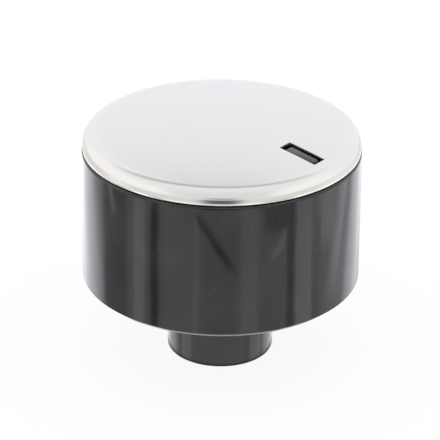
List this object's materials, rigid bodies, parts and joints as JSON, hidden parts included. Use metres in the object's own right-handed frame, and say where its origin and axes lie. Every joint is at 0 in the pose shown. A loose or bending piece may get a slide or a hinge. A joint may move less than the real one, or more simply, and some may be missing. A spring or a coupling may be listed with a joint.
{
  "type": "control knob",
  "caption": "Round push-on appliance control knob: glossy black hollow drum with a domed brushed-steel cap, a slot showing the pointer bar, and a long hub stub for a flatted spindle.",
  "frame": {"origin": "centre of the hub's end face, which the knob stands on", "axes": "+Z along the spindle axis from the hub's end to the cap, +X along the pointer, +Y across it"},
  "size_m": [0.0404, 0.0404, 0.0361],
  "materials": {
    "black_moulding": "gloss moulded, near-black thermoset",
    "brushed_cap": "stainless sheet, straight brushed",
    "spring_leaf": "rolled spring steel"
  },
  "bodies": {
    "root": {"knob_body": "black_moulding", "steel_cap": "brushed_cap", "shaft_clip": "spring_leaf"}
  },
  "joints": []
}
